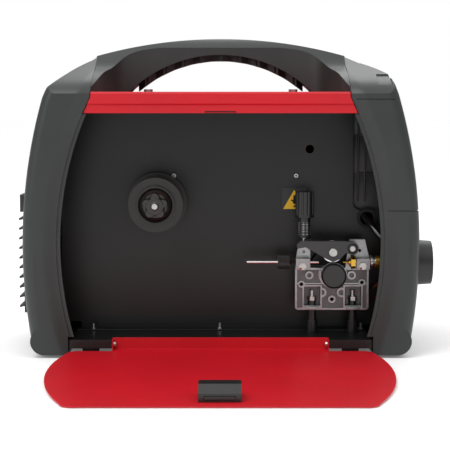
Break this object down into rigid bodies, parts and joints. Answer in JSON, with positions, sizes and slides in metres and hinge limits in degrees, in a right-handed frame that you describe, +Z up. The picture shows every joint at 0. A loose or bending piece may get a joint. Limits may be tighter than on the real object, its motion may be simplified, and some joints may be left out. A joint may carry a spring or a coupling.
{
  "type": "mig welding machine",
  "caption": "Portable wire-feed welding machine with its side door open, showing the spool hub and the wire drive; front torch and cable sockets, arched carrying handle.",
  "frame": {"origin": "on the ground under the middle of the case, at the centre of the four foot screws", "axes": "+X towards the front panel, +Y away from the side door, +Z up"},
  "size_m": [0.48, 0.505, 0.3646],
  "materials": {
    "black_abs": "fine-grained moulded plastic",
    "black_gloss_plastic": "smooth moulded plastic",
    "red_paint": "semi-gloss powder coat",
    "dark_grey_paint": "semi-gloss powder coat",
    "zinc_steel": "zinc plated",
    "cast_alloy": "as cast, lightly blasted",
    "brass": "machined",
    "rubber": "moulded",
    "yellow_label": "printed plate",
    "clear_window": "smoked window",
    "circuit_board": "solder mask",
    "raw_aluminium": "extruded",
    "copper_winding": "enamelled winding"
  },
  "bodies": {
    "case": {"front_shell": "black_abs", "rear_shell": "black_abs", "handle": "black_abs", "cover": "red_paint", "case_screws": "zinc_steel", "base_tray": "dark_grey_paint", "feet": "rubber", "partition": "dark_grey_paint", "warning_plate": "yellow_label", "floor_pins": "zinc_steel", "hinge_screws": "zinc_steel", "hub_shaft": "zinc_steel", "drive_plate": "cast_alloy", "gearbox": "cast_alloy", "feed_motor": "dark_grey_paint", "drive_pins": "zinc_steel", "clamp_blocks": "cast_alloy", "drive_bolts": "zinc_steel", "inlet_guide": "zinc_steel", "inlet_collar": "black_gloss_plastic", "outlet_guide": "brass", "pillars": "black_gloss_plastic", "front_fascia": "black_abs", "display_window": "clear_window", "torch_collar": "black_gloss_plastic", "torch_core": "brass", "dinse_sockets": "black_gloss_plastic", "dinse_inserts": "brass", "rear_grille": "black_abs", "connection_recess": "black_abs", "cable_gland": "black_gloss_plastic", "gas_inlet": "brass", "switch_frame": "black_gloss_plastic", "fan_frame": "black_gloss_plastic", "power_board": "circuit_board", "heat_sinks": "raw_aluminium", "transformer_and_choke": "copper_winding", "gas_valve": "brass", "internal_leads": "rubber", "cable_grommet": "rubber"},
    "door": {"door_panel": "red_paint", "latch_housing": "black_abs"},
    "latch": {"latch_bolt": "zinc_steel"},
    "hub": {"hub_core": "black_abs"},
    "retainer": {"hub_disc": "black_abs"},
    "star_knob": {"hub_knob": "black_gloss_plastic"},
    "feed": {"output_shaft": "zinc_steel", "feed_roller": "zinc_steel", "roller_cap": "black_gloss_plastic"},
    "arm": {"pressure_arm": "dark_grey_paint", "roller_axle": "zinc_steel"},
    "pressure": {"pressure_roller": "zinc_steel"},
    "lever": {"tension_rod": "zinc_steel", "scale_sleeve": "black_gloss_plastic", "tension_spring": "zinc_steel"},
    "tension": {"tension_knob": "black_gloss_plastic"},
    "voltage": {"voltage_knob": "black_gloss_plastic"},
    "wire_speed": {"wire_speed_knob": "black_gloss_plastic"},
    "rocker": {"switch_rocker": "black_gloss_plastic"},
    "fan": {"fan_rotor": "black_gloss_plastic"}
  },
  "joints": [
    {"name": "door_hinge", "type": "hinge", "parent": "case", "child": "door", "pos_m": [0, -0.1126, 0.0148], "axis": [1, 0, 0], "range_deg": [-91.45, 0]},
    {"name": "latch_slide", "type": "slide", "parent": "door", "child": "latch", "axis": [0, 0.9997, 0.0253], "range_m": [-0.009, 0]},
    {"name": "hub_spin", "type": "hinge", "parent": "case", "child": "hub", "pos_m": [-0.0748, -0.06, 0.1722], "axis": [0, 1, 0], "continuous": true},
    {"name": "retainer_slide", "type": "slide", "parent": "case", "child": "retainer", "axis": [0, -1, 0], "range_m": [0, 0.06]},
    {"name": "star_knob_spin", "type": "hinge", "parent": "retainer", "child": "star_knob", "pos_m": [-0.0748, -0.1, 0.1722], "axis": [0, 1, 0], "continuous": true},
    {"name": "feed_spin", "type": "hinge", "parent": "case", "child": "feed", "pos_m": [0.131, -0.074, 0.0897], "axis": [0, 1, 0], "continuous": true},
    {"name": "arm_lift", "type": "hinge", "parent": "case", "child": "arm", "pos_m": [0.1522, -0.084, 0.1218], "axis": [0, 1, 0], "range_deg": [0, 10.2]},
    {"name": "pressure_spin", "type": "hinge", "parent": "arm", "child": "pressure", "pos_m": [0.1298, -0.074, 0.1174], "axis": [0, 1, 0], "continuous": true},
    {"name": "lever_swing", "type": "hinge", "parent": "case", "child": "lever", "pos_m": [0.0985, -0.056, 0.112], "axis": [0, -1, 0], "range_deg": [0, 85]},
    {"name": "tension_knob_turn", "type": "hinge", "parent": "lever", "child": "tension", "pos_m": [0.0985, -0.056, 0.17], "axis": [0, 0, 1], "continuous": true},
    {"name": "voltage_turn", "type": "hinge", "parent": "case", "child": "voltage", "pos_m": [0.21123, -0.038, 0.215], "axis": [0.9895, 0, 0.1443], "range_deg": [-135, 135]},
    {"name": "wire_speed_turn", "type": "hinge", "parent": "case", "child": "wire_speed", "pos_m": [0.21123, 0.038, 0.215], "axis": [0.9895, 0, 0.1443], "range_deg": [-135, 135]},
    {"name": "switch_rock", "type": "hinge", "parent": "case", "child": "rocker", "pos_m": [-0.224, -0.05, 0.1725], "axis": [0, 1, 0], "range_deg": [-12, 0]},
    {"name": "fan_spin", "type": "hinge", "parent": "case", "child": "fan", "pos_m": [-0.205, 0, 0.102], "axis": [1, 0, 0], "continuous": true}
  ],
  "couplings": [
    {"joint": "arm_lift", "follows": "lever_swing", "ratio": 0.12},
    {"joint": "pressure_spin", "follows": "feed_spin", "ratio": -1.1935}
  ]
}
